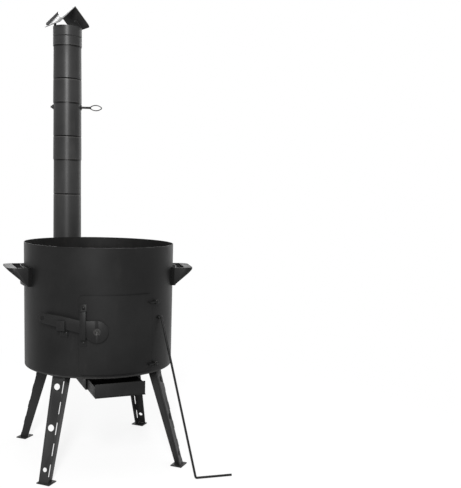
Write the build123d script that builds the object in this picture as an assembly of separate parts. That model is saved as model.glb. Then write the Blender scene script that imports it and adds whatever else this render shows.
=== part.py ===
from build123d import *
import os
from math import acos, asin, atan2, cos, degrees, radians, sin, sqrt, tan

# A charcoal and wood stove for a cauldron: a steel drum on four splayed legs, with a fire door, a drop
# latch, a fire grate over an ash drawer, two side handles, a stacked flue with a damper and a gable cap, and
# a poker. Millimetres and degrees. +Z is up and the fire door faces -Y. Heights below are above the floor.
# The whole stove is lowered at the end, so that its origin is the centre of the drum's mouth, where the
# cauldron hangs. Drum angles are measured from the front, and are positive towards +X.

# Drum
drum_radius = 200.0
drum_sheet = 2.0
rim_height = 590.0
drum_height = 325.0
floor_thickness = 4.0

# One overrun for every cut, and the gaps that pieces of different bodies keep
overrun = 5.0
rest_gap = 0.3
running_gap = 0.05

# Fire door, a curved sheet that lies over its opening
door_half_angle = 27.5
door_sheet = 2.0
door_gap = 2.6
door_bottom = 272.0
door_height = 200.0
door_lap = 10.0
door_corner_radius = 8.0

# Door hinges: a level lug on the door over one on the drum, with a pin through both, twice
hinge_angle = 31.5
hinge_pin_radius = 3.0
hinge_eye_radius = 6.0
hinge_lug = 3.5
hinge_eye_clearance = 0.5
hinge_shares = (0.07, 0.88)
hinge_lug_depth = 8.0
hinge_door_lug_angle = 7.5
hinge_drum_lug_angle = 4.0
hinge_pin_head_radius = 4.5
hinge_pin_head = 2.0

# Drop latch: a lever on a stud on the door, a guide over it, and a keeper hook on the drum
latch_angle = -15.0
latch_share = 0.555
latch_standoff = 9.0
latch_thickness = 3.5
latch_bend_radius = 224.0
latch_stations = ((0.0, 0.0, 28.0), (36.0, 11.0, 15.5), (90.0, 22.0, 15.0), (136.0, 27.0, 12.8))
latch_tip_hole_radius = 5.0
latch_stud_radius = 4.0
latch_shoulder_radius = 9.0
latch_washer_radius = 9.0
latch_washer = 1.5
latch_nut_radius = 7.0
latch_nut = 6.0

guide_angle = -24.3
guide_width = 15.0
guide_strip = 2.0
guide_window = 66.0
guide_foot = 20.0
guide_clearance = 2.5
guide_drop = 18.0
rivet_radius = 4.5
rivet_head = 2.0

keeper_angle = -39.2
keeper_width = 22.0
keeper_strip = 2.5
keeper_clearance = 4.0
keeper_lip = 23.0
keeper_foot = 20.0

# Side handles: folded sheets on insulating pads, each a level grip over two tapering cheeks
handle_angles = {"left": -90.5, "right": 78.0}
handle_top = 528.5
handle_height = 48.5
handle_half_width = 62.0
handle_reach = 42.0
handle_lip = 4.0
handle_sheet = 2.0
handle_corner_radius = 20.0
handle_grip = 23.0
handle_arm = 5.0
handle_slot_corner_radius = 3.0
pad_thickness = 8.0
handle_stud_radius = 3.0
handle_stud_turn = 8.5
handle_stud_drop = 17.0
handle_nut_radius = 5.8
handle_nut = 5.0
handle_stud_tail = 1.5

# Fire grate, its ledge under the drum's floor, and the ash drawer in its housing
grate_width = 116.0
grate_length = 186.0
grate_thickness = 9.0
grate_clearance = 1.0
grate_rim = 11.0
grate_slot = 8.0
grate_pitch = 14.0
ledge_sheet = 3.0
ledge_shelf = 9.0

housing_inner_half_width = 66.5
housing_sheet = 2.0
housing_front = -140.0
housing_back = 110.0
housing_depth = 41.5
housing_flange = 12.0
drawer_side_clearance = 2.0
drawer_sheet = 2.0
drawer_out = 88.0
drawer_length = 215.0
drawer_side_height = 28.5
drawer_front_height = 34.5
drawer_lip = 4.0

# Legs: tapered angle sections with slots along the bend and round holes in the tangential flange. They are
# one piece, a quarter turn apart about the drum's axis
leg_quarters = {"front_left": 0, "front_right": 90, "rear_right": 180, "rear_left": 270}
leg_top_radius = 184.0
leg_foot_radius = 258.0
leg_bend_offset = 14.0
leg_turn = 10.0
leg_sheet = 3.0
leg_tangent_top = 35.0
leg_tangent_foot = 26.0
leg_radial_top = 37.0
leg_radial_foot = 23.0
leg_slot_length = 31.0
leg_slot_width = 3.5
leg_slot_pitch = 52.0
leg_slot_count = 5
leg_slot_start = 27.0
leg_hole_radii = (8.2, 8.5, 5.6)
leg_hole_shares = (0.1, 0.49, 0.88)
bracket_thickness = 3.0
bracket_width = 40.0
bracket_length = 41.0
foot_thickness = 3.0
foot_radial = 32.0
foot_tangent = 38.0
foot_overhang = 8.0
leg_bolt_radius = 3.0
leg_bolt_head_radius = 6.0
leg_bolt_spots = ((14.0, 12.5), (24.0, 29.0))
leg_nut_radius = 5.8
leg_nut = 5.0
leg_bolt_tail = 2.0

# Flue: an elbow welded to the drum, three sleeves that stack on it, and a collar
flue_angle = -170.7
flue_offset = 250.0
flue_height = 490.0
elbow_radius = 39.6
elbow_sheet = 2.0
elbow_spigot = 66.0
elbow_stop = 2.4
elbow_stop_height = 3.0
pipe_foot_radius = 41.4
pipe_top_radius = 39.7
pipe_sheet = 1.0
pipe_socket = 66.0
pipe_foot_rise = 61.0
pipe_shares = (0.0, 0.45, 0.7276)
pipe_top_rise = 24.0
pipe_groove_depth = 1.3
pipe_groove_width = 3.2
pipe_stiffener_share = 0.62
collar_drop = 106.0
collar_length = 54.0

# Gable cap on two straps
cap_turn = 15.4
cap_ridge_height = 1248.0
cap_half_width = 47.0
cap_drop = 48.5
cap_length = 104.0
cap_setback = 3.0
cap_hem = 6.0
cap_sheet = 1.5
cap_corner_radius = 6.0
strap_sheet = 1.5
strap_width = 14.0
strap_overlap = 26.0
strap_tab = 14.0
cap_rivet_rise = 7.0

# Damper: a plate on a rod through the middle sleeve, with a wire loop to turn it
damper_drop = 11.0
damper_turn = -22.0
damper_radius = 37.0
damper_plate = 1.5
damper_rod_radius = 3.2
damper_rod_left = 49.0
damper_rod_right = 66.0
damper_loop_length = 34.0
damper_loop_height = 18.0
damper_wire_radius = 1.4
damper_loop_tip = 2.6
damper_weld_radius = 3.6
damper_nut_radius = 6.2
damper_nut = 3.0
damper_washer_radius = 7.5
damper_washer = 1.5

# Poker: one round rod that leans on the drum
poker_radius = 3.0
poker_lean_angle = 38.5
poker_lean_height = 409.0
poker_corner = (188.0, -279.0)
poker_tip = (284.0, -290.0)
poker_bend_radius = 4.5
poker_hook = (-13.0, -4.0)

# Derived places
drum_bottom = rim_height - drum_height
floor_bottom = drum_bottom - floor_thickness
bore_radius = drum_radius - drum_sheet
door_inner_radius = drum_radius + door_gap
door_outer_radius = door_inner_radius + door_sheet
door_half_width = door_outer_radius * sin(radians(door_half_angle))
door_middle = door_bottom + door_height / 2
hinge_axis_radius = drum_radius + hinge_eye_radius + hinge_eye_clearance
hinge_heights = [door_bottom + door_height * share for share in hinge_shares]
latch_height = door_bottom + door_height * latch_share
latch_inner_radius = drum_radius + latch_standoff
latch_outer_radius = latch_inner_radius + latch_thickness
guide_inner_radius = latch_outer_radius + guide_clearance
keeper_inner_radius = latch_outer_radius + keeper_clearance
leg_top = floor_bottom - bracket_thickness
leg_height = leg_top - foot_thickness
grate_bottom = drum_bottom - grate_thickness - rest_gap * 2
housing_bottom = floor_bottom - housing_depth
drawer_bottom = housing_bottom + housing_sheet + rest_gap
drawer_half_width = housing_inner_half_width - drawer_side_clearance
drawer_front = housing_front - drawer_out
flue_x = flue_offset * sin(radians(flue_angle))
flue_y = -flue_offset * cos(radians(flue_angle))
collar_height = cap_ridge_height - collar_drop
pipe_foot_height = flue_height + pipe_foot_rise
pipe_heights = [pipe_foot_height + (collar_height - pipe_foot_height) * share for share in pipe_shares]
pipe_stiffener_height = pipe_heights[0] + (pipe_heights[1] - pipe_heights[0]) * pipe_stiffener_share
pipe_top = collar_height + pipe_top_rise
damper_height = pipe_heights[2] - damper_drop
handle_base_radius = drum_radius + pad_thickness
handle_middle = handle_top - handle_height / 2
handle_stud_height = handle_top - handle_stud_drop


def drum_plane(angle, radius=0.0, height=0.0):
    """Plane on the drum at an angle: x runs along the wall to the right, y is up and z points outwards."""
    a = radians(angle)
    origin = (radius * sin(a), -radius * cos(a), height)
    return Plane(origin=origin, x_dir=(cos(a), sin(a), 0), z_dir=(sin(a), -cos(a), 0))


def ring(outer, inner, bottom, top):
    """Upright tube about the drum's axis."""
    height = top - bottom
    solid = Cylinder(outer, height, align=(Align.CENTER, Align.CENTER, Align.MIN))
    bore = Cylinder(inner, height + 2 * overrun, align=(Align.CENTER, Align.CENTER, Align.MIN))
    return Pos(0, 0, bottom) * (solid - Pos(0, 0, -overrun) * bore)


def disc(radius, bottom, top, x=0.0, y=0.0):
    """Upright solid cylinder."""
    return Pos(x, y, bottom) * Cylinder(radius, top - bottom, align=(Align.CENTER, Align.CENTER, Align.MIN))


def block(low, high):
    """Box between two corners."""
    size = [b - a for a, b in zip(low, high)]
    return Pos(*low) * Box(*size, align=(Align.MIN, Align.MIN, Align.MIN))


def prism(place, points, depth):
    """Polygon on a plane, extruded along the plane's normal whichever way its points run."""
    return extrude(place * Polygon(*points, align=None), depth, dir=place.z_dir)


def off_the_drum(solid):
    """Cuts a piece back to the drum's outer wall, so that it sits on the curve."""
    return solid - disc(drum_radius, 0, rim_height + drum_height)


def curved_plate(sketch, angle, inner, outer):
    """Sheet of an outline seen along the drum's radius, bent to lie between two radii."""
    prism = extrude(drum_plane(angle) * sketch, outer + overrun)
    low = prism.bounding_box().min.Z - overrun
    high = prism.bounding_box().max.Z + overrun
    return prism & ring(outer, inner, low, high)


def radial_cylinder(angle, height, radius, start, end):
    """Cylinder along the drum's radius, between two distances from its axis."""
    place = drum_plane(angle, start, height)
    return extrude(place * Circle(radius), end - start)


def hexagon_nut(place, radius, height, bore):
    """Hexagonal nut standing on a plane."""
    return extrude(place * (RegularPolygon(radius, 6) - Circle(bore)), height)


def domed_head(place, radius, height):
    """Low rivet head standing on a plane, as a slice of a ball."""
    ball = (radius ** 2 + height ** 2) / (2 * height)
    head = Pos(0, 0, height - ball) * Sphere(ball)
    keep = Cylinder(radius + overrun, height, align=(Align.CENTER, Align.CENTER, Align.MIN))
    return place.location * (head & keep)


def body_shell():
    """Drum wall with the fire opening and the flue hole."""
    wall = ring(drum_radius, bore_radius, drum_bottom, rim_height)
    opening = RectangleRounded(
        2 * (door_half_width - door_lap), door_height - 2 * door_lap, door_corner_radius)
    wall -= extrude(drum_plane(0, 0, door_middle) * opening, drum_radius + overrun)
    flue_hole = radial_cylinder(flue_angle, flue_height, elbow_radius - elbow_sheet, 0, drum_radius + overrun)
    return wall - flue_hole


def leg_bolt_points():
    """Places of the leg bolts on the floor plate, four legs in turn."""
    points = []
    for quarter in leg_quarters.values():
        for along, inward in leg_bolt_spots:
            spot = Rot(0, 0, quarter) * leg_frame().location * Pos(*beside_bend(0, along, inward))
            points.append((spot.position.X, spot.position.Y))
    return points


def bottom_plate():
    """Floor of the drum, open over the grate, with countersunk holes for the leg bolts."""
    plate = disc(drum_radius, floor_bottom, drum_bottom)
    half_x = grate_width / 2 + grate_clearance
    half_y = grate_length / 2 + grate_clearance
    plate -= block((-half_x, -half_y, floor_bottom - overrun), (half_x, half_y, drum_bottom + overrun))
    for x, y in leg_bolt_points():
        plate -= disc(leg_bolt_radius, floor_bottom - overrun, drum_bottom, x, y)
        plate -= Pos(x, y, drum_bottom) * leg_bolt_head()
    return plate


def leg_bolt_head():
    """Countersunk head, its flat top at zero height."""
    depth = leg_bolt_head_radius - leg_bolt_radius
    return Cone(leg_bolt_radius, leg_bolt_head_radius, depth, align=(Align.CENTER, Align.CENTER, Align.MAX))


def grate_ledge():
    """Angle frame under the floor plate that carries the grate."""
    seat_x = grate_width / 2 + grate_clearance
    seat_y = grate_length / 2 + grate_clearance
    low = grate_bottom - rest_gap - ledge_sheet
    outer = block((-seat_x - ledge_sheet, -seat_y - ledge_sheet, low),
                  (seat_x + ledge_sheet, seat_y + ledge_sheet, floor_bottom))
    seat = block((-seat_x, -seat_y, low + ledge_sheet), (seat_x, seat_y, floor_bottom + overrun))
    hole = block((-seat_x + ledge_shelf, -seat_y + ledge_shelf, low - overrun),
                 (seat_x - ledge_shelf, seat_y - ledge_shelf, floor_bottom + overrun))
    return outer - seat - hole


def fire_grate():
    """Cast grate: a plate with cross slots, two to a row with a spine between them."""
    half_x, half_y = grate_width / 2, grate_length / 2
    grate = block((-half_x, -half_y, grate_bottom), (half_x, half_y, grate_bottom + grate_thickness))
    slot_length = half_x - 1.5 * grate_rim
    rows = int((grate_length - 2 * grate_rim) / grate_pitch)
    for row in range(rows):
        y = (row - (rows - 1) / 2) * grate_pitch
        for side in (-1, 1):
            x = side * (grate_rim + slot_length) / 2
            slot = Pos(x, y, grate_bottom - overrun) * SlotOverall(slot_length, grate_slot)
            grate -= extrude(slot, grate_thickness + 2 * overrun)
    return grate


def ash_housing():
    """Open-fronted channel under the floor plate, with flanges welded to it."""
    inner, outer = housing_inner_half_width, housing_inner_half_width + housing_sheet
    box = block((-outer, housing_front, housing_bottom), (outer, housing_back, floor_bottom))
    space = block((-inner, housing_front - overrun, housing_bottom + housing_sheet),
                  (inner, housing_back - housing_sheet, floor_bottom + overrun))
    channel = box - space
    for side in (-1, 1):
        edges = sorted((side * outer, side * (outer + housing_flange)))
        channel += block((edges[0], housing_front, floor_bottom - housing_sheet),
                         (edges[1], housing_back, floor_bottom))
    return channel


def ash_drawer():
    """Open tray with a taller front and a turned-out lip along its foot."""
    front, back = drawer_front, drawer_front + drawer_length
    tray = block((-drawer_half_width, front, drawer_bottom),
                 (drawer_half_width, back, drawer_bottom + drawer_side_height))
    inner = drawer_half_width - drawer_sheet
    tray -= block((-inner, front + drawer_sheet, drawer_bottom + drawer_sheet),
                  (inner, back - drawer_sheet, drawer_bottom + drawer_side_height + overrun))
    tray += block((-drawer_half_width, front, drawer_bottom),
                  (drawer_half_width, front + drawer_sheet, drawer_bottom + drawer_front_height))
    tray += block((-drawer_half_width, front - drawer_lip, drawer_bottom),
                  (drawer_half_width, front, drawer_bottom + drawer_sheet))
    return tray


def leg_frame():
    """Place of the front left leg: x outwards along the drum's radius, y along the wall."""
    return Plane(origin=(0, 0, 0), x_dir=(-1, -1, 0), z_dir=(0, 0, 1))


def leg_flanges():
    """Directions of a leg's flanges in its own frame: along the wall, and inwards."""
    turn = radians(leg_turn)
    return Vector(sin(turn), -cos(turn), 0), Vector(-cos(turn), -sin(turn), 0)


def leg_point(share):
    """Point on the bend line, as a share of the leg's height from its top."""
    radius = leg_top_radius + (leg_foot_radius - leg_top_radius) * share
    return Vector(radius, leg_bend_offset, leg_top - leg_height * share)


def beside_bend(share, along, inward):
    """Point off the bend line, at distances in the directions of the two flanges."""
    tangent, radial = leg_flanges()
    return leg_point(share) + tangent * along + radial * inward


def leg_section():
    """One tapered angle leg, still in its own frame."""
    lean = atan2(leg_foot_radius - leg_top_radius, leg_height)
    skin = leg_sheet / cos(lean)
    ends = []
    for share, wide, deep in ((0, leg_tangent_top, leg_radial_top), (1, leg_tangent_foot, leg_radial_foot)):
        outline = ((0, 0), (wide, 0), (wide, skin), (leg_sheet, skin), (leg_sheet, deep), (0, deep))
        ends.append(Wire.make_polygon([beside_bend(share, *corner) for corner in outline]))
    return Solid.make_loft(ends, ruled=True)


def leg():
    """Front left leg with its slots and holes, in the stove's frame."""
    solid = leg_section()
    tangent, radial = leg_flanges()
    direction = leg_point(1) - leg_point(0)
    length = direction.length
    for index in range(leg_slot_count):
        share = (leg_slot_start + index * leg_slot_pitch) / length
        place = Plane(origin=leg_point(share), x_dir=tangent + radial, z_dir=direction)
        solid -= place.location * Box(4 * leg_sheet, leg_slot_width, leg_slot_length)
    for radius, share in zip(leg_hole_radii, leg_hole_shares):
        width = leg_tangent_top + (leg_tangent_foot - leg_tangent_top) * share
        centre = beside_bend(share, (width + leg_sheet) / 2, 0)
        place = Plane(origin=centre, x_dir=tangent, z_dir=tangent.cross(direction))
        solid -= place.location * Cylinder(radius, 4 * leg_sheet)
    return leg_frame().location * solid


def bracket():
    """Plate at the head of the front left leg, bolted under the drum's floor."""
    edge = -leg_sheet / 2
    outline = ((edge, edge), (bracket_width, edge), (bracket_width, bracket_length), (edge, bracket_length))
    corners = [beside_bend(0, *corner) for corner in outline]
    plan = [(corner.X, corner.Y) for corner in corners]
    plate = prism(Plane(origin=(0, 0, leg_top)), plan, bracket_thickness)
    low, high = leg_top - overrun, leg_top + bracket_thickness + overrun
    for along, inward in leg_bolt_spots:
        spot = beside_bend(0, along, inward)
        plate -= disc(leg_bolt_radius, low, high, spot.X, spot.Y)
    return leg_frame().location * plate


def foot_plate():
    """Square plate under the front left leg."""
    radius = leg_foot_radius + foot_overhang - foot_radial / 2
    along = leg_bend_offset + foot_overhang - foot_tangent / 2
    plate = Pos(radius, along, 0) * Box(
        foot_radial, foot_tangent, foot_thickness, align=(Align.CENTER, Align.CENTER, Align.MIN))
    return leg_frame().location * plate


def four_corners(solid):
    """The front left piece and its three copies round the drum, by name."""
    return {corner: Rot(0, 0, quarter) * solid for corner, quarter in leg_quarters.items()}


def leg_bolts():
    """Countersunk bolts, heads level with the drum's floor."""
    low = leg_top - leg_nut - leg_bolt_tail
    bolts = []
    for x, y in leg_bolt_points():
        shank = disc(leg_bolt_radius, low, drum_bottom, x, y)
        bolts.append(shank + Pos(x, y, drum_bottom) * leg_bolt_head())
    return bolts


def leg_nuts():
    """Nuts under the brackets."""
    nuts = []
    for x, y in leg_bolt_points():
        place = Plane(origin=(x, y, leg_top), x_dir=(1, 1, 0), z_dir=(0, 0, -1))
        nuts.append(hexagon_nut(place, leg_nut_radius, leg_nut, leg_bolt_radius))
    return nuts


def handle_outline(inset=0.0):
    """Plan of a handle: it runs back past the curved wall, and is rounded at the grip."""
    half = handle_half_width - inset
    reach = handle_reach - inset
    wrap = handle_half_width ** 2 / handle_base_radius
    corner = max(handle_corner_radius - inset, handle_sheet)
    plan = Pos(0, (reach - wrap) / 2) * Rectangle(2 * half, reach + wrap)
    outer = plan.vertices().group_by(Axis.Y)[-1]
    return fillet(outer, corner)


def handle_back(side, inner, outer):
    """Sheet of a handle's width and height, bent to lie between two radii."""
    outline = Pos(0, handle_middle) * Rectangle(2 * handle_half_width, handle_height)
    return curved_plate(outline, handle_angles[side], inner, outer)


def handle(side):
    """Folded handle: a back bent to the drum, a level grip with a slot behind it, and a cheek at each end."""
    a = radians(handle_angles[side])
    plan = Plane(origin=(handle_base_radius * sin(a), -handle_base_radius * cos(a), handle_top),
                 x_dir=(-cos(a), -sin(a), 0), z_dir=(0, 0, 1))
    low, high = handle_top - handle_height - overrun, handle_top + overrun
    tray = extrude(plan * handle_outline(), -handle_height)
    tray -= extrude(plan.offset(-handle_sheet) * handle_outline(handle_sheet), -handle_height)
    tray -= disc(handle_base_radius, low, high)
    root = sqrt(handle_base_radius ** 2 - handle_half_width ** 2) - handle_base_radius
    profile = Plane(origin=plan.origin, x_dir=(sin(a), -cos(a), 0), z_dir=(-cos(a), -sin(a), 0))
    under = Polygon(
        (root, -handle_height), (handle_reach + overrun, -handle_height),
        (handle_reach + overrun, -handle_lip), (handle_reach, -handle_lip), align=None)
    tray -= extrude(profile * under, handle_half_width + overrun, both=True)
    slot_width = 2 * (handle_half_width - handle_arm)
    slot_reach = handle_reach - handle_grip
    slot = Pos(0, slot_reach / 2 - handle_corner_radius) * RectangleRounded(
        slot_width, slot_reach + 2 * handle_corner_radius, handle_slot_corner_radius)
    tray -= extrude(plan.offset(overrun) * slot, -overrun - 2 * handle_sheet)
    tray += handle_back(side, handle_base_radius, handle_base_radius + handle_sheet)
    for stud in handle_stud_cylinders(side, drum_radius, handle_stud_radius + running_gap):
        tray -= stud
    return tray


def handle_stud_cylinders(side, start, radius):
    """Cylinders along a handle's two studs, from a radius outwards."""
    end = handle_base_radius + handle_sheet + handle_nut + handle_stud_tail
    return [radial_cylinder(handle_angles[side] + turn, handle_stud_height, radius, start, end)
            for turn in (-handle_stud_turn, handle_stud_turn)]


def handle_pad(side):
    """Insulating pad between the drum and a handle."""
    pad = handle_back(side, drum_radius, handle_base_radius)
    for stud in handle_stud_cylinders(side, 0, handle_stud_radius):
        pad -= stud
    return pad


def handle_studs():
    """Threaded studs welded to the drum."""
    return [off_the_drum(stud) for side in handle_angles
            for stud in handle_stud_cylinders(side, bore_radius - overrun, handle_stud_radius)]


def handle_nuts():
    """Nuts on the handle studs."""
    seat = handle_base_radius + handle_sheet
    return [hexagon_nut(drum_plane(angle + turn, seat, handle_stud_height),
                        handle_nut_radius, handle_nut, handle_stud_radius)
            for angle in handle_angles.values() for turn in (-handle_stud_turn, handle_stud_turn)]


def door_panel():
    """Curved door sheet with rounded corners."""
    outline = Pos(0, door_middle) * RectangleRounded(2 * door_half_width, door_height, door_corner_radius)
    return curved_plate(outline, 0, door_inner_radius, door_outer_radius)


def sector(outer, inner, bottom, top, start, end):
    """Piece of an upright tube between two drum angles."""
    reach = 2 * outer
    points = [(0, 0)]
    for step in range(3):
        a = radians(start + (end - start) * step / 2)
        points.append((reach * sin(a), -reach * cos(a)))
    wedge = prism(Plane(origin=(0, 0, bottom)), points, top - bottom)
    return ring(outer, inner, bottom, top) & wedge


def hinge_point():
    """Plan position of the hinge pins."""
    place = drum_plane(hinge_angle, hinge_axis_radius)
    return place.origin.X, place.origin.Y


def hinge_eye(centre, upper, gap):
    """One eye of a hinge with its lug, above or below the hinge's centre."""
    x, y = hinge_point()
    bottom = centre + rest_gap / 2 if upper else centre - rest_gap / 2 - hinge_lug
    top = bottom + hinge_lug
    eye = disc(hinge_eye_radius, bottom, top, x, y)
    if upper:
        lug = sector(door_outer_radius + hinge_lug_depth, door_outer_radius, bottom, top,
                     hinge_angle - hinge_door_lug_angle, hinge_angle)
    else:
        lug = sector(drum_radius + hinge_lug_depth, drum_radius, bottom, top,
                     hinge_angle, hinge_angle + hinge_drum_lug_angle)
    return eye + lug - disc(hinge_pin_radius + gap, bottom - overrun, top + overrun, x, y)


def hinge_pin(centre):
    """Pin fixed in the lower eye, with a head above the upper one."""
    x, y = hinge_point()
    low = centre - rest_gap / 2 - hinge_lug
    high = centre + hinge_lug + rest_gap
    return (disc(hinge_pin_radius, low, high + hinge_pin_head / 2, x, y)
            + disc(hinge_pin_head_radius, high, high + hinge_pin_head, x, y))


def tapered_link(first, second):
    """Outline round two circles, each given as its place and radius, with straight sides that touch both."""
    place, other = Vector(*first[:2]), Vector(*second[:2])
    run = other - place
    lean = acos((first[2] - second[2]) / run.length)
    side = degrees(atan2(run.Y, run.X))
    corners = []
    for centre, radius, turns in ((place, first[2], (1, -1)), (other, second[2], (-1, 1))):
        for turn in turns:
            a = radians(side) + turn * lean
            corners.append((centre.X + radius * cos(a), centre.Y + radius * sin(a)))
    link = Polygon(*corners, align=None)
    for centre, radius in ((place, first[2]), (other, second[2])):
        link += Pos(centre.X, centre.Y) * Circle(radius)
    return link


def latch_lever():
    """Lever bent to stand off the drum, with a hole for the stud and one in its tip."""
    stations = [(-reach, rise, radius) for reach, rise, radius in latch_stations]
    outline = tapered_link(stations[0], stations[1])
    for first, second in zip(stations[1:], stations[2:]):
        outline += tapered_link(first, second)
    outline -= Circle(latch_stud_radius + running_gap)
    outline -= Pos(*stations[-1][:2]) * Circle(latch_tip_hole_radius)
    stud = drum_plane(latch_angle, 0, latch_height)
    blank = extrude(stud * outline, latch_bend_radius)
    centre = stud.z_dir * (latch_inner_radius - latch_bend_radius)
    low, high = door_bottom, door_bottom + door_height
    bend = ring(latch_bend_radius + latch_thickness, latch_bend_radius, low, high)
    return blank & Pos(centre.X, centre.Y, 0) * bend


def latch_stud():
    """Shouldered stud on the door that the lever turns on."""
    washer_seat = latch_outer_radius + rest_gap
    end = washer_seat + latch_washer + latch_nut
    shoulder = radial_cylinder(latch_angle, latch_height, latch_shoulder_radius,
                               door_inner_radius - drum_sheet, latch_inner_radius - rest_gap)
    shoulder -= disc(door_outer_radius, door_bottom - overrun, door_bottom + door_height + overrun)
    stud = radial_cylinder(latch_angle, latch_height, latch_stud_radius, door_outer_radius, end)
    return shoulder + stud


def latch_washer_ring():
    """Washer over the lever."""
    seat = latch_outer_radius + rest_gap
    place = drum_plane(latch_angle, seat, latch_height)
    return extrude(place * (Circle(latch_washer_radius) - Circle(latch_stud_radius)), latch_washer)


def latch_cap_nut():
    """Nut on the stud's end."""
    seat = latch_outer_radius + rest_gap + latch_washer
    place = drum_plane(latch_angle, seat, latch_height)
    return hexagon_nut(place, latch_nut_radius, latch_nut, latch_stud_radius)


def latch_guide():
    """Strap over the lever, bent out from two riveted feet."""
    half, foot = guide_window / 2, guide_foot
    middle = latch_height - guide_drop + half
    inner, outer = guide_inner_radius, guide_inner_radius + guide_strip
    root = door_outer_radius - overrun
    profile = Plane(origin=(0, 0, middle), x_dir=drum_plane(guide_angle).z_dir,
                    z_dir=-drum_plane(guide_angle).x_dir)
    foot_top = door_outer_radius + guide_strip
    strap = Polygon(
        (root, half + foot), (foot_top, half + foot), (foot_top, half + guide_strip),
        (outer, half + guide_strip), (outer, -half - guide_strip), (foot_top, -half - guide_strip),
        (foot_top, -half - foot), (root, -half - foot), (root, -half), (inner, -half),
        (inner, half), (root, half), align=None)
    solid = extrude(profile * strap, guide_width / 2, both=True)
    return solid - disc(door_outer_radius, door_bottom - overrun, door_bottom + door_height + overrun)


def guide_rivets():
    """Rivet heads on the guide's feet."""
    middle = latch_height - guide_drop + guide_window / 2
    reach = guide_window / 2 + guide_strip + (guide_foot - guide_strip) / 2
    seat = door_outer_radius + guide_strip
    return [domed_head(drum_plane(guide_angle, seat, middle + side * reach), rivet_radius, rivet_head)
            for side in (-1, 1)]


def keeper_shelf_height():
    """Height of the shelf that the lever rests on, a gap under its edge."""
    across = latch_outer_radius * sin(radians(latch_angle - keeper_angle)) - keeper_width / 2
    (reach, rise, radius), (next_reach, next_rise, next_radius) = latch_stations[1:3]
    share = (across - reach) / (next_reach - reach)
    centre = latch_height + rise + (next_rise - rise) * share
    half = (radius + (next_radius - radius) * share) / cos(atan2(next_rise - rise, next_reach - reach))
    return centre - half - 2 * rest_gap


def latch_keeper():
    """Hook on the drum: a riveted foot, a shelf under the lever and a lip in front of it."""
    inner, outer = keeper_inner_radius, keeper_inner_radius + keeper_strip
    shelf = keeper_shelf_height()
    root = drum_radius - overrun
    foot_face = drum_radius + keeper_strip
    profile = Plane(origin=(0, 0, shelf), x_dir=drum_plane(keeper_angle).z_dir,
                    z_dir=-drum_plane(keeper_angle).x_dir)
    hook = Polygon(
        (root, 0), (inner, 0), (inner, keeper_lip), (outer, keeper_lip), (outer, -keeper_strip),
        (foot_face, -keeper_strip), (foot_face, -keeper_foot), (root, -keeper_foot), align=None)
    return off_the_drum(extrude(profile * hook, keeper_width / 2, both=True))


def keeper_rivets():
    """Rivet heads on the keeper's foot."""
    height = keeper_shelf_height() - (keeper_foot + keeper_strip) / 2
    place = drum_plane(keeper_angle, drum_radius + keeper_strip, height)
    spots = (-keeper_width / 4, keeper_width / 4)
    return [domed_head(Plane(place.location * Pos(spot, 0, 0)), rivet_radius, rivet_head) for spot in spots]


def flue_tube(radius, tail):
    """Elbow body: a level leg from the drum, a ball at the corner and an upright leg."""
    level = radial_cylinder(flue_angle, flue_height, radius, bore_radius - overrun, flue_offset)
    height = pipe_heights[0] + elbow_spigot - flue_height + tail
    upright = Pos(flue_x, flue_y, flue_height) * Cylinder(
        radius, height, align=(Align.CENTER, Align.CENTER, Align.MIN))
    return level + upright + Pos(flue_x, flue_y, flue_height) * Sphere(radius)


def flue_elbow():
    """Elbow from the drum to the flue, with a stop ring under the first sleeve."""
    top = pipe_heights[0] - rest_gap
    stop = disc(elbow_radius + elbow_stop, top - elbow_stop_height, top, flue_x, flue_y)
    solid = off_the_drum(flue_tube(elbow_radius, 0) + stop)
    return solid - flue_tube(elbow_radius - elbow_sheet, overrun)


def sleeve(bottom, top, foot_radius, top_radius, grooves):
    """Tapered sleeve with rolled grooves, as a turned profile about the flue's axis."""
    slope = (top_radius - foot_radius) / (top - bottom)
    outer, inner = [], []
    half = pipe_groove_width / 2
    stations = [bottom]
    for groove in grooves:
        stations += [groove - half, groove, groove + half]
    stations.append(top)
    for index, height in enumerate(stations):
        deep = 0 < index < len(stations) - 1 and index % 3 == 2
        radius = foot_radius + slope * (height - bottom) - (pipe_groove_depth if deep else 0)
        outer.append((radius, height))
        inner.append((radius - pipe_sheet, height))
    profile = Plane.XZ * Polygon(*outer, *reversed(inner), align=None)
    return Pos(flue_x, flue_y, 0) * revolve(profile, Axis.Z)


def pipes():
    """Three stacked sleeves: each grips the one below up to a groove that it stops against."""
    half = pipe_groove_width / 2
    stop = pipe_socket + half
    low, middle, high = pipe_heights
    reach = pipe_socket - rest_gap
    lower = sleeve(low, middle + reach, pipe_foot_radius, pipe_top_radius, (pipe_stiffener_height,))
    centre = sleeve(middle, high + reach, pipe_foot_radius, pipe_top_radius, (middle + stop,))
    bore = damper_rod_radius + running_gap
    centre -= damper_frame() * Rot(0, 90, 0) * Cylinder(bore, 3 * pipe_foot_radius)
    upper = sleeve(high, pipe_top, pipe_foot_radius, pipe_top_radius, (high + stop,))
    return lower, centre, upper


def cap_collar():
    """Short sleeve over the flue's end, with a groove near its top that it hangs on."""
    top = collar_height + collar_length
    groove = pipe_top + rest_gap + pipe_groove_width / 2
    return sleeve(collar_height, top, pipe_foot_radius, pipe_foot_radius, (groove,))


def cap_frame():
    """Upright plane across the gable: x runs across the ridge, y is up, z along the ridge to the front."""
    a = radians(cap_turn)
    return Plane(origin=(flue_x, flue_y, 0), x_dir=(cos(a), sin(a), 0), z_dir=(sin(a), -cos(a), 0))


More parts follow.
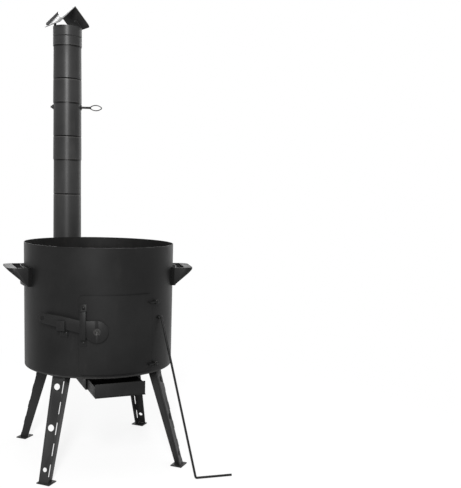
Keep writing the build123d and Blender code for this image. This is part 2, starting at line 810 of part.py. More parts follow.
def gable(inner, outer):
    """Gable outline between two distances above the sheet's lower face."""
    slope = atan2(cap_drop, cap_half_width)
    eave = cap_ridge_height - cap_drop
    low, high = ((height - cap_sheet) / cos(slope) for height in (inner, outer))
    return Polygon(
        (-cap_half_width, eave + high), (0, cap_ridge_height + high), (cap_half_width, eave + high),
        (cap_half_width, eave + low), (0, cap_ridge_height + low), (-cap_half_width, eave + low), align=None)


def rain_cap():
    """Folded gable sheet with rounded corners, and a hem turned up along the rear edge of each slope."""
    half = cap_length / 2
    frame = cap_frame().offset(-cap_setback)
    sheet = extrude(frame * gable(0, cap_sheet), half, both=True)
    a = radians(cap_turn)
    bottom = cap_ridge_height - cap_drop - overrun
    plan = Plane(origin=(frame.origin.X, frame.origin.Y, bottom), x_dir=(cos(a), sin(a), 0), z_dir=(0, 0, 1))
    outline = RectangleRounded(2 * cap_half_width, cap_length, cap_corner_radius)
    cap = sheet & extrude(plan * outline, cap_drop + 2 * overrun)
    hem_width = cap_half_width - cap_corner_radius - cap_hem / 2
    for side in (-1, 1):
        span = Rectangle(hem_width, 2 * cap_drop + cap_hem)
        span = Pos(side * (cap_hem + hem_width) / 2, cap_ridge_height) * span
        cap += extrude(frame.offset(-half) * (gable(0, cap_hem) & span), cap_sheet)
    return cap


def cap_underside(across):
    """Height of the gable's lower face at a distance from the ridge."""
    slope = atan2(cap_drop, cap_half_width)
    return cap_ridge_height - across * tan(slope) - cap_sheet / cos(slope)


def cap_strap(side):
    """Strap inside the collar, from its mouth up under one slope of the gable."""
    slope = atan2(cap_drop, cap_half_width)
    skin = strap_sheet / cos(slope)
    outer = cos(asin(strap_width / 2 / (pipe_foot_radius - pipe_sheet))) * (pipe_foot_radius - pipe_sheet)
    inner = outer - strap_sheet
    foot = collar_height + collar_length - strap_overlap
    head = inner - strap_tab
    strip = Polygon(
        (side * inner, foot), (side * outer, foot), (side * outer, cap_underside(outer)),
        (side * head, cap_underside(head)), (side * head, cap_underside(head) - skin),
        (side * inner, cap_underside(inner) - skin), align=None)
    return extrude(cap_frame() * strip, strap_width / 2, both=True)


def cap_rivets():
    """Rivet heads outside the collar, one to each strap."""
    frame = cap_frame()
    height = collar_height + collar_length - strap_overlap + cap_rivet_rise
    rivets = []
    for side in (-1, 1):
        origin = frame.origin + frame.x_dir * side * pipe_foot_radius + Vector(0, 0, height)
        place = Plane(origin=origin, x_dir=(0, 0, 1), z_dir=frame.x_dir * side)
        rivets.append(domed_head(place, rivet_radius / 2, rivet_head / 2))
    return rivets


def damper_frame():
    """Place of the damper's rod: x along the rod to its loop, z up."""
    return Pos(flue_x, flue_y, damper_height) * Rot(0, 0, damper_turn)


def damper_disc():
    """Damper plate welded along the back of the rod, upright when the flue is open."""
    back = damper_rod_radius + damper_plate / 2
    return damper_frame() * Pos(0, back, 0) * Rot(90, 0, 0) * Cylinder(damper_radius, damper_plate)


def damper_rod():
    """Rod across the flue."""
    start = Plane(origin=(-damper_rod_left, 0, 0), x_dir=(0, 1, 0), z_dir=(1, 0, 0))
    return damper_frame() * extrude(start * Circle(damper_rod_radius), damper_rod_left + damper_rod_right)


def damper_loop():
    """Leaf-shaped wire loop welded to the rod's end: two long arcs joined by a tight one at each tip."""
    reach = damper_loop_length / 2
    rise = damper_loop_height / 2 - damper_wire_radius
    tip = reach - damper_loop_tip
    bow = (tip ** 2 + rise ** 2 - damper_loop_tip ** 2) / (2 * (rise - damper_loop_tip))
    share = damper_loop_tip / (bow - damper_loop_tip)
    x, z = tip * (1 + share), (bow - rise) * share
    path = Wire([
        ThreePointArc((-x, 0, z), (0, 0, rise), (x, 0, z)),
        ThreePointArc((x, 0, z), (reach, 0, 0), (x, 0, -z)),
        ThreePointArc((x, 0, -z), (0, 0, -rise), (-x, 0, -z)),
        ThreePointArc((-x, 0, -z), (-reach, 0, 0), (-x, 0, z)),
    ])
    section = Plane(origin=path @ 0, z_dir=path % 0) * Circle(damper_wire_radius)
    start = damper_rod_right + damper_wire_radius / 2
    loop = Pos(start + reach, 0, 0) * sweep(section, path=path)
    loop += Pos(start, 0, 0) * Sphere(damper_weld_radius)
    return damper_frame() * loop - damper_rod()


def damper_hardware():
    """Washers and nut that keep the rod in the sleeve."""
    share = (damper_height - pipe_heights[1]) / (pipe_heights[2] + pipe_socket - pipe_heights[1])
    seat = pipe_foot_radius + (pipe_top_radius - pipe_foot_radius) * share + rest_gap
    left = Plane(origin=(-seat, 0, 0), x_dir=(0, 1, 0), z_dir=(-1, 0, 0))
    right = Plane(origin=(seat, 0, 0), x_dir=(0, 1, 0), z_dir=(1, 0, 0))
    ring_face = Circle(damper_washer_radius) - Circle(damper_rod_radius)
    washers = [damper_frame() * extrude(side * ring_face, damper_washer) for side in (left, right)]
    nut = hexagon_nut(left.offset(damper_washer), damper_nut_radius, damper_nut, damper_rod_radius)
    return washers, damper_frame() * nut


def bent_path(points, radius):
    """Wire through points in space, with an arc at each corner."""
    edges = []
    start = points[0]
    for before, corner, after in zip(points, points[1:], points[2:]):
        back = (before - corner).normalized()
        ahead = (after - corner).normalized()
        half = radians(back.get_angle(ahead)) / 2
        inward = (back + ahead).normalized()
        first = corner + back * (radius / tan(half))
        last = corner + ahead * (radius / tan(half))
        middle = corner + inward * (radius / sin(half) - radius)
        edges.append(Line(start, first))
        edges.append(ThreePointArc(first, middle, last))
        start = last
    edges.append(Line(start, points[-1]))
    return Wire(edges)


def poker():
    """Bent rod: a short hook on the drum's wall, a long leaning stem and a foot along the floor."""
    lean = drum_plane(poker_lean_angle, drum_radius + poker_radius + rest_gap, poker_lean_height)
    end = (lean.location * Pos(*poker_hook, 0)).position
    points = [end, lean.origin, Vector(*poker_corner, poker_radius), Vector(*poker_tip, poker_radius)]
    path = bent_path(points, poker_bend_radius)
    section = Plane(origin=path @ 0, z_dir=path % 0) * Circle(poker_radius)
    return sweep(section, path=path)


def stove():
    """All nodes by name. A list is a group of separate solids."""
    lower, centre, upper = pipes()
    washers, nut = damper_hardware()
    nodes = {
        "body_shell": body_shell(), "bottom_plate": bottom_plate(), "grate_ledge": grate_ledge(),
        "fire_grate": fire_grate(), "ash_housing": ash_housing(), "ash_drawer": ash_drawer(),
        "leg_bolts": leg_bolts(), "leg_nuts": leg_nuts(),
        "handle_left": handle("left"), "handle_right": handle("right"),
        "handle_pad_left": handle_pad("left"), "handle_pad_right": handle_pad("right"),
        "handle_studs": handle_studs(), "handle_nuts": handle_nuts(),
        "door_panel": door_panel(),
        "door_hinge_eyes": [hinge_eye(height, True, running_gap) for height in hinge_heights],
        "drum_hinge_eyes": [hinge_eye(height, False, 0) for height in hinge_heights],
        "hinge_pins": [hinge_pin(height) for height in hinge_heights],
        "latch_lever": latch_lever(), "latch_stud": latch_stud(), "latch_washer": latch_washer_ring(),
        "latch_nut": latch_cap_nut(), "latch_guide": latch_guide(), "guide_rivets": guide_rivets(),
        "latch_keeper": latch_keeper(), "keeper_rivets": keeper_rivets(),
        "flue_elbow": flue_elbow(), "pipe_lower": lower, "pipe_middle": centre, "pipe_upper": upper,
        "cap_collar": cap_collar(), "rain_cap": rain_cap(),
        "cap_strap_left": cap_strap(-1), "cap_strap_right": cap_strap(1), "cap_rivets": cap_rivets(),
        "damper_disc": damper_disc(), "damper_rod": damper_rod(), "damper_loop": damper_loop(),
        "damper_washers": washers, "damper_nut": nut,
        "poker": poker(),
    }
    for name, piece in (("leg", leg()), ("leg_bracket", bracket()), ("foot_plate", foot_plate())):
        for corner, solid in four_corners(piece).items():
            nodes[f"{name}_{corner}"] = solid
    return nodes


os.makedirs("parts", exist_ok=True)
for node, shape in stove().items():
    solids = shape if isinstance(shape, list) else [shape]
    lowered = [Pos(0, 0, -rim_height) * solid for solid in solids]
    group = Compound(children=[item for solid in lowered for item in solid.solids()])
    export_step(group, f"parts/{node}.step")
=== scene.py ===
"""Dresses the cauldron stove: black painted steel, cast grate, fixings, weld beads, soot and a plain studio.

Every piece is in metres, in the stove's own frame: the origin is the centre of the drum's mouth, +Z is up and
the fire door faces -Y. Drum angles are measured from the front, and are positive towards +X.
"""

from __future__ import annotations

import logging
import math
from dataclasses import dataclass, field
from enum import Enum
from typing import Callable, Iterable, Sequence

import bmesh
import bpy
from mathutils import Matrix, Vector

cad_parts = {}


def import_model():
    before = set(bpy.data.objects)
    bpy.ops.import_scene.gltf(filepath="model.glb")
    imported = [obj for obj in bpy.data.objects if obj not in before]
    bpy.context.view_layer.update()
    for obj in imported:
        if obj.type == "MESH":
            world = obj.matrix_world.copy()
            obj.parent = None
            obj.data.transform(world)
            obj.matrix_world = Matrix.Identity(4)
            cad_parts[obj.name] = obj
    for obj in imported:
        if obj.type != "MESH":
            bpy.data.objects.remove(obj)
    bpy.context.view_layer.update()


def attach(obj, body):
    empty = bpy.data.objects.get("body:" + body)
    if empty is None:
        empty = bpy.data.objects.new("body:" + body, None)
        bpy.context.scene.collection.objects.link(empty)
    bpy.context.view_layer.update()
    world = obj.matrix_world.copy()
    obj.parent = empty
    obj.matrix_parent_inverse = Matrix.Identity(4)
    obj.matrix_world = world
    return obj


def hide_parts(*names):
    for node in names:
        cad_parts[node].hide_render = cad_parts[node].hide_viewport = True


LOG = logging.getLogger("cauldron_stove")

# The floor's height, the flue's axis and its drum angle, and the tone of the painted shade in joints and
# grooves
FLOOR = -0.590
FLUE_AXIS = (-0.0404, 0.24671)
FLUE_ANGLE = -170.7
PAINTED_SHADE_TONE = 0.001

# Corners of a solid this close are merged, faces this flat are joined, and sharper edges can be rounded
MERGE_DISTANCE = 4e-6
FLAT_DEGREES = 0.6
BEVEL_DEGREES = 40

# M6 fixings, with their threads a little proud of the nuts' faces
NUT_RADIUS, NUT_HEIGHT, NUT_BORE, NUT_CHAMFER = 0.0058, 0.005, 0.003, 0.985
THREAD_RADIUS, THREAD_START, THREAD_RIDGE, THREAD_PITCH = 0.0029, 0.0052, 0.0003, 0.001

# Rivet heads, radius and height
LATCH_RIVET = (0.0045, 0.002)
CAP_RIVET = (0.00225, 0.001)

UP = Vector((0, 0, 1))


# ---- shader and geometry wiring


def _operator(operation: str, swapped: bool = False) -> Callable[..., "Signal"]:
    """A Python operator that adds one Math node, with the values swapped if the other one comes first."""
    def method(signal: "Signal", other: "Signal | float") -> "Signal":
        """Adds the node."""
        values = (other, signal) if swapped else (signal, other)
        return signal.math(operation, *values)

    return method


class Signal:
    """One output socket that Python operators turn into Math nodes."""

    def __init__(self, recipe: "Recipe", socket: bpy.types.NodeSocket) -> None:
        """Keeps the socket and the tree it belongs to."""
        self.recipe = recipe
        self.socket = socket

    def math(self, operation: str, *values: "Signal | float", clamp: bool = False) -> "Signal":
        """Adds one Math node with its inputs in order, and gives its result."""
        links = {index: value for index, value in enumerate(values)}
        return self.recipe.node("ShaderNodeMath", {"operation": operation, "use_clamp": clamp}, links)

    __add__ = _operator("ADD")
    __radd__ = _operator("ADD", swapped=True)
    __sub__ = _operator("SUBTRACT")
    __rsub__ = _operator("SUBTRACT", swapped=True)
    __mul__ = _operator("MULTIPLY")
    __pow__ = _operator("POWER")

    def __abs__(self) -> "Signal":
        """Size without sign."""
        return self.math("ABSOLUTE", self)

    def clamped(self) -> "Signal":
        """The same value, held between 0 and 1."""
        return self.math("ADD", self, 0.0, clamp=True)

    def step(self, low: float, high: float) -> "Signal":
        """A smooth step.

        Args:
            low: the value at which the step leaves 0. It may be above high, which turns the step round.
            high: the value at which the step reaches 1.

        Returns:
            The step, between 0 and 1.
        """
        if low > high:
            return 1 - self.step(high, low)
        return self.recipe.node("ShaderNodeMapRange", {"interpolation_type": "SMOOTHSTEP"},
                                {"Value": self, "From Min": low, "From Max": high})


class Wiring:
    """A node tree with a short call for its nodes."""

    tree: bpy.types.NodeTree

    def add(self, kind: str, settings: dict | None = None, links: dict | None = None) -> bpy.types.Node:
        """Adds a node.

        Args:
            kind: the node's type.
            settings: its own properties, set before its sockets are used.
            links: values, sockets or signals by socket name or number.

        Returns:
            The node.
        """
        made = self.tree.nodes.new(kind)
        for key, value in (settings or {}).items():
            setattr(made, key, value)
        for key, value in (links or {}).items():
            given = value.socket if isinstance(value, Signal) else value
            if isinstance(given, bpy.types.NodeSocket):
                self.tree.links.new(given, made.inputs[key])
            else:
                made.inputs[key].default_value = given
        return made


class Recipe(Wiring):
    """One shader tree."""

    def __init__(self, tree: bpy.types.NodeTree) -> None:
        """Starts from an empty tree."""
        self.tree = tree
        tree.nodes.clear()

    def node(self, kind: str, settings: dict | None = None, links: dict | None = None,
             output: int | str = 0) -> Signal:
        """Adds a node and takes one of its outputs, by name or number."""
        return Signal(self, self.add(kind, settings, links).outputs[output])

    def place(self, kind: str = "Object") -> Signal:
        """The point on the piece, in metres, or another texture coordinate."""
        return self.node("ShaderNodeTexCoord", output=kind)

    def axes(self, kind: str = "Object") -> tuple[Signal, ...]:
        """The x, y and z of the point or of another texture coordinate."""
        split = self.add("ShaderNodeSeparateXYZ", links={0: self.place(kind)})
        return tuple(Signal(self, output) for output in split.outputs)

    def noise(self, scale: float, detail: float = 2.0, roughness: float = 0.5,
              stretch: tuple[float, float, float] | None = None) -> Signal:
        """A noise pattern fixed to the piece.

        Args:
            scale: pattern repeats to the metre.
            detail: the number of finer layers.
            roughness: the strength of the finer layers.
            stretch: how much the pattern is squeezed along each axis.

        Returns:
            The pattern, about 0 to 1.
        """
        where = self.place()
        if stretch:
            where = self.node("ShaderNodeMapping", links={"Vector": where, "Scale": stretch})
        links = {"Vector": where, "Scale": scale, "Detail": detail, "Roughness": roughness}
        return self.node("ShaderNodeTexNoise", links=links)

    def blend(self, mask: Signal | float, under: Signal | tuple, over: Signal | tuple) -> Signal:
        """One colour over another, where the mask is how much of the upper one shows."""
        factor, first, second, result = 0, 6, 7, 2
        links = {factor: mask, first: under, second: over}
        return self.node("ShaderNodeMix", {"data_type": "RGBA"}, links, result)

    def bump(self, height: Signal, depth: float, strength: float = 1.0,
             under: Signal | None = None) -> Signal:
        """A relief.

        Args:
            height: the relief's height, 0 to 1.
            depth: its full depth in metres.
            strength: how much of it shows.
            under: another relief below it.

        Returns:
            The normal that it gives.
        """
        links: dict = {"Height": height, "Distance": depth, "Strength": strength}
        if under is not None:
            links["Normal"] = under
        return self.node("ShaderNodeBump", links=links)

    def surface(self, colour: Signal | tuple, rough: Signal | float, normal: Signal | None = None,
                **constants: float) -> None:
        """Ends the tree in one shader.

        Args:
            colour: the base colour.
            rough: the roughness.
            normal: the relief.
            constants: other values of the shader, with underscores for spaces.
        """
        links: dict = {"Base Color": colour, "Roughness": rough}
        if normal is not None:
            links["Normal"] = normal
        links.update({key.replace("_", " "): value for key, value in constants.items()})
        shader = self.node("ShaderNodeBsdfPrincipled", links=links)
        self.add("ShaderNodeOutputMaterial", links={"Surface": shader})


def grey(value: float, warm: float = 0.0) -> tuple[float, float, float, float]:
    """A near-neutral colour by its linear lightness, with red raised and blue lowered by a share."""
    return (value * (1 + warm), value, value * (1 - warm), 1.0)


def new_material(name: str) -> tuple[bpy.types.Material, Recipe]:
    """An empty material and the recipe for its tree."""
    material = bpy.data.materials.new(name)
    material.use_nodes = True
    return material, Recipe(material.node_tree)


# ---- finishes


@dataclass(frozen=True)
class Finish:
    """A procedural finish."""

    name: str

    def mix(self, recipe: Recipe) -> None:
        """Wires the finish in an empty tree, from its pattern to its shader."""
        raise NotImplementedError

    def material(self) -> bpy.types.Material:
        """Builds the material."""
        material, recipe = new_material(self.name)
        self.mix(recipe)
        return material


class Soot(Enum):
    """Where fire has blackened a painted piece; the faces that look down also take painted shade."""

    NONE = "none"
    INSIDE_DRUM = "inside of the drum"
    INSIDE_FLUE = "inside of the flue"
    UNDERSIDE_SOOT_AND_SHADE = "faces that look down"
    ALL_OVER = "whole piece"


@dataclass(frozen=True)
class StovePaint(Finish):
    """Heat-resistant black paint on sheet steel: satin, faintly orange-peeled, with waves in thin sheet."""

    tone: float = 0.010
    roughness: float = 0.42
    mottle: float = 0.25
    peel: float = 0.00005
    wave: float = 0.0
    wave_pitch: float = 5.0
    shine: float = 0.4
    soot: Soot = Soot.NONE
    joints: tuple[float, ...] = ()
    grooves: tuple[float, ...] = ()

    def mix(self, recipe: Recipe) -> None:
        """Wires the paint."""
        x, y, z = recipe.axes()
        cloud = recipe.noise(7.0, 4.0, 0.55)
        speck = recipe.noise(900.0, 2.0, 0.6)
        smear = recipe.noise(26.0, 5.0, 0.62, stretch=(1.0, 1.0, 0.35))
        colour = recipe.blend(cloud.step(0.3, 0.75), grey(self.tone * (1 - self.mottle)),
                              grey(self.tone * (1 + self.mottle)))
        colour = recipe.blend(speck.step(0.66, 0.78) * 0.5, colour, grey(self.tone * 2.1))
        dusty = smear.step(0.56, 0.8) * 0.22
        colour = recipe.blend(dusty, colour, grey(self.tone * 2.6, 0.04))
        rough = smear * 0.16 + (self.roughness - 0.08)
        rough = rough + dusty * 0.4
        # Flue joints and grooves: a painted shade line in each, with a painted highlight line beside it
        for line, tone in self._lines(z):
            colour = recipe.blend(line, colour, grey(tone, 0.03))
        black = self._soot(recipe, x, y, z)
        if black is not None:
            cake = recipe.noise(60.0, 6.0, 0.7)
            ash = cake.step(0.45, 0.75)
            colour = recipe.blend(black, colour, recipe.blend(ash, grey(0.002, 0.05), grey(0.010, 0.1)))
            rough = rough + black * (0.92 - self.roughness)
        normal = None
        if self.wave:
            sway = recipe.noise(self.wave_pitch, 1.0, 0.4, stretch=(1.0, 1.0, 0.6))
            normal = recipe.bump(sway, self.wave)
        peel = recipe.noise(420.0, 2.0, 0.5)
        normal = recipe.bump(peel, self.peel, 0.8, normal)
        recipe.surface(colour, rough.clamped(), normal, Specular_IOR_Level=self.shine)

    def _lines(self, z: Signal) -> list[tuple[Signal, float]]:
        """Painted shade in each joint and groove and a painted highlight beside it: masks, each with its
        tone.
        """
        # In each kind the first row is painted shade and the second a painted highlight: rise, fade, full,
        # strength, tone
        joint = ((-0.0014, 0.0030, 0.0018, 0.95, PAINTED_SHADE_TONE), (0.0020, 0.0012, 0.0004, 0.5, self.tone * 2.4))
        groove = ((0.0, 0.0022, 0.0012, 0.95, PAINTED_SHADE_TONE), (-0.0032, 0.0014, 0.0004, 0.6, self.tone * 3.0))
        return [(abs(z - (height + rise)).step(fade, full) * strength, tone)
                for heights, rows in ((self.joints, joint), (self.grooves, groove))
                for height in heights for rise, fade, full, strength, tone in rows]

    def _soot(self, recipe: Recipe, x: Signal, y: Signal, z: Signal) -> Signal | None:
        """Where the soot lies, with painted shade on faces that look down, as a mask over the point's x, y
        and z, or nothing for a clean piece.
        """
        if self.soot is Soot.INSIDE_DRUM:
            span = (x * x + y * y) ** 0.5
            ragged = (recipe.noise(30.0, 4.0, 0.6) - 0.5) * 0.05
            low = (z + ragged).step(-0.01, -0.06)
            return span.step(0.1992, 0.1984) * (low * 0.7 + 0.3)
        if self.soot is Soot.INSIDE_FLUE:
            across, along = x - FLUE_AXIS[0], y - FLUE_AXIS[1]
            span = (across * across + along * along) ** 0.5
            return span.step(0.0402, 0.0390) * 0.9
        # Soot and painted shade: every face that looks down is darkened
        if self.soot is Soot.UNDERSIDE_SOOT_AND_SHADE:
            return recipe.axes("Normal")[2].step(0.05, -0.25)
        if self.soot is Soot.ALL_OVER:
            return recipe.noise(12.0, 4.0, 0.6).step(0.2, 0.6) * 0.85
        return None


@dataclass(frozen=True)
class RoughIron(Finish):
    """Cast iron with a sandy skin, rubbed a little in places."""

    name: str = "grate_iron"
    tone: float = 0.028

    def mix(self, recipe: Recipe) -> None:
        """Wires the iron."""
        sand = recipe.noise(650.0, 4.0, 0.7)
        patch = recipe.noise(22.0, 4.0, 0.6)
        colour = recipe.blend(patch.step(0.35, 0.7), grey(self.tone, 0.06), grey(self.tone * 1.9, 0.16))
        colour = recipe.blend(sand.step(0.6, 0.8) * 0.5, colour, grey(0.09, 0.1))
        normal = recipe.bump(sand, 0.00035, 0.9)
        recipe.surface(colour, (0.62 + patch * 0.25).clamped(), normal, Metallic=0.35)


@dataclass(frozen=True)
class BlackenedSteel(Finish):
    """Fixings with a dark oxide skin that rubs bright in places."""

    name: str = "blackened_fixing"
    tone: float = 0.02
    rubbed: float = 0.06

    def mix(self, recipe: Recipe) -> None:
        """Wires the steel."""
        scratch = recipe.noise(300.0, 3.0, 0.6, stretch=(1.0, 0.25, 1.0))
        patch = recipe.noise(45.0, 3.0, 0.6)
        bright = (scratch * patch).step(0.24, 0.42) * 0.5
        colour = recipe.blend(bright, grey(self.tone, 0.03), grey(self.rubbed))
        rough = 0.46 - bright * 0.18 + patch * 0.08
        recipe.surface(colour, rough.clamped(), recipe.bump(scratch, 0.00003, 0.7), Metallic=0.75)


@dataclass(frozen=True)
class HeatPadGapShade(Finish):
    """Pressed fibre pad behind a handle, near-black so that it also stands for the painted shade in the gap
    there.
    """

    name: str = "heat_pad_gap_shade"
    # Near-black: partly the pad's own colour, partly painted shade in the gap behind the handle
    tone: float = 0.0015

    def mix(self, recipe: Recipe) -> None:
        """Wires the pressed fibre."""
        fibre = recipe.noise(1200.0, 4.0, 0.7, stretch=(1.0, 1.0, 0.25))
        colour = recipe.blend(fibre.step(0.4, 0.8), grey(self.tone), grey(self.tone * 2.4, 0.05))
        recipe.surface(colour, 0.9, recipe.bump(fibre, 0.0002, 0.8), Specular_IOR_Level=0.08)


@dataclass(frozen=True)
class WeldMetal(Finish):
    """Weld bead under the paint, a little rougher and browner than the sheet."""

    name: str = "weld_bead"
    tone: float = 0.034

    def mix(self, recipe: Recipe) -> None:
        """Wires the bead."""
        slag = recipe.noise(500.0, 3.0, 0.6)
        colour = recipe.blend(slag.step(0.45, 0.75), grey(self.tone, 0.02), grey(self.tone * 1.7, 0.12))
        recipe.surface(colour, (0.4 + slag * 0.25).clamped(), recipe.bump(slag, 0.0001, 0.8))


class Palette:
    """The finishes by name, each built once."""

    def __init__(self) -> None:
        """Builds every material."""
        self.made: dict[str, bpy.types.Material] = {}
        finishes = (
            StovePaint("drum_paint", 0.006, roughness=0.42, shine=0.1, wave=0.0016, wave_pitch=4.0,
                       soot=Soot.INSIDE_DRUM),
            StovePaint("door_paint", 0.006, roughness=0.43, shine=0.1, wave=0.0010, wave_pitch=6.0),
            StovePaint("leg_paint", 0.012, roughness=0.44, shine=0.12),
            # The flue's joints and grooves carry painted shade and painted highlight lines
            StovePaint("flue_paint", 0.014, roughness=0.38, shine=0.15, wave=0.0006, wave_pitch=9.0,
                       soot=Soot.INSIDE_FLUE, joints=(-0.039, 0.227, 0.391, 0.552),
                       grooves=(0.126, 0.2946, 0.4586)),
            # The cap's faces that look down are darkened with soot and painted shade
            StovePaint("cap_paint", 0.016, roughness=0.28, shine=0.5, soot=Soot.UNDERSIDE_SOOT_AND_SHADE),
            StovePaint("fitting_paint", 0.0065, roughness=0.42, shine=0.1),
            StovePaint("ash_paint", 0.010, roughness=0.5, soot=Soot.ALL_OVER),
            StovePaint("floor_plate_paint", 0.010, roughness=0.6, soot=Soot.ALL_OVER),
            RoughIron(), BlackenedSteel(), HeatPadGapShade(), WeldMetal(),
        )
        for finish in finishes:
            self.made[finish.name] = finish.material()

    def __getitem__(self, name: str) -> bpy.types.Material:
        """The finish of that name."""
        return self.made[name]


# ---- geometry helpers

Spots = Sequence[tuple[Vector, Matrix]]


def drum_point(angle: float, radius: float, height: float) -> Vector:
    """A point by its drum angle in degrees, its distance from the drum's axis and its height."""
    turn = math.radians(angle)
    return Vector((radius * math.sin(turn), -radius * math.cos(turn), height))


def link(data: bpy.types.ID, name: str) -> bpy.types.Object:
    """Puts a mesh, curve, light or camera into the scene as an object at the origin."""
    piece = bpy.data.objects.new(name, data)
    bpy.context.scene.collection.objects.link(piece)
    return piece


def closed_mesh(form: bmesh.types.BMesh, name: str) -> bpy.types.Mesh:
    """Ends a form as a mesh, with its faces turned outwards."""
    bmesh.ops.recalc_face_normals(form, faces=form.faces)
    mesh = bpy.data.meshes.new(name)
    form.to_mesh(mesh)
    form.free()
    return mesh


def merged(mesh: bpy.types.Mesh) -> bmesh.types.BMesh:
    """A form made from a mesh, with the corners that coincide merged."""
    form = bmesh.new()
    form.from_mesh(mesh)
    bmesh.ops.remove_doubles(form, verts=form.verts, dist=MERGE_DISTANCE)
    return form


def applied(piece: bpy.types.Object, name: str) -> bpy.types.Object:
    """Turns an object with modifiers, which is removed, into a plain mesh object of that name."""
    graph = bpy.context.evaluated_depsgraph_get()
    mesh = bpy.data.meshes.new_from_object(piece.evaluated_get(graph), depsgraph=graph)
    bpy.data.objects.remove(piece)
    mesh.name = name
    return link(mesh, name)


def shade(mesh: bpy.types.Mesh, angle: float = 32.0) -> None:
    """Shades a mesh smooth, with edges sharper than an angle in degrees left crisp."""
    mesh.polygons.foreach_set("use_smooth", [True] * len(mesh.polygons))
    mesh.set_sharp_from_angle(angle=math.radians(angle))


def outward(point: Vector, axis: tuple[float, float] = (0.0, 0.0)) -> Vector:
    """The level direction from an upright axis to a point."""
    return Vector((point.x - axis[0], point.y - axis[1], 0)).normalized()


@dataclass(frozen=True)
class Turned:
    """An upright axis that a rolled sheet was bent about, for exact normals on the curve."""

    axis: tuple[float, float] = (0.0, 0.0)
    spread: float = 14.0

    def apply(self, mesh: bpy.types.Mesh) -> None:
        """Gives the rolled faces of a merged mesh exact round normals."""
        limit = math.cos(math.radians(self.spread))
        normals: list[Vector] = []
        for face in mesh.polygons:
            for index in face.vertices:
                out = outward(mesh.vertices[index].co, self.axis)
                lean = face.normal.dot(out)
                way = face.normal.copy()
                if abs(lean) > limit:
                    way = out * math.copysign(1.0, lean)
                    way.z = face.normal.z
                    way.normalize()
                normals.append(way)
        mesh.normals_split_custom_set(normals)


def islands(node: str) -> list[list[Vector]]:
    """The corner points of each separate solid of a CAD node, in the order of its mesh."""
    form = merged(bpy.data.objects[node].data)
    found: set[bmesh.types.BMVert] = set()
    groups = []
    for start in form.verts:
        if start in found:
            continue
        found.add(start)
        stack, group = [start], []
        while stack:
            vert = stack.pop()
            group.append(vert.co.copy())
            for edge in vert.link_edges:
                near = edge.other_vert(vert)
                if near not in found:
                    found.add(near)
                    stack.append(near)
        groups.append(group)
    form.free()
    return groups


def centre(points: Iterable[Vector]) -> Vector:
    """The middle of the box round some points."""
    found = list(points)
    low = Vector([min(p[i] for p in found) for i in range(3)])
    high = Vector([max(p[i] for p in found) for i in range(3)])
    return (low + high) / 2


def facing(direction: Vector, across: Vector | None = None) -> Matrix:
    """A turn that sends +Z along a direction.

    Args:
        direction: where +Z goes.
        across: about where +X goes.

    Returns:
        The rotation.
    """
    up = direction.normalized()
    side = (across or UP).copy()
    side -= up * side.dot(up)
    side.normalize()
    return Matrix((side, up.cross(side), up)).transposed()


def ring_point(radius: float, index: int, count: int, height: float) -> tuple[float, float, float]:
    """One of a count of points on a ring about +Z, the first of them on +X."""
    turn = 2 * math.pi * index / count
    return (radius * math.cos(turn), radius * math.sin(turn), height)


def lathe(profile: Sequence[tuple[float, float]], sides: int) -> bpy.types.Mesh:
    """Turns a profile about +Z.

    Args:
        profile: radius and height pairs from one pole to the other.
        sides: the number of steps round.

    Returns:
        The closed mesh.
    """
    form = bmesh.new()
    rings: list[list[bmesh.types.BMVert]] = []
    for radius, height in profile:
        if radius < 1e-9:
            rings.append([form.verts.new((0, 0, height))])
            continue
        rings.append([form.verts.new(ring_point(radius, i, sides, height)) for i in range(sides)])
    for lower, upper in zip(rings, rings[1:]):
        for i in range(sides):
            j = (i + 1) % sides
            corners = [ring[k % len(ring)] for ring, k in ((lower, i), (lower, j), (upper, j), (upper, i))]
            unique = list(dict.fromkeys(corners))
            if len(unique) > 2:
                form.faces.new(unique)
    return closed_mesh(form, "turned")


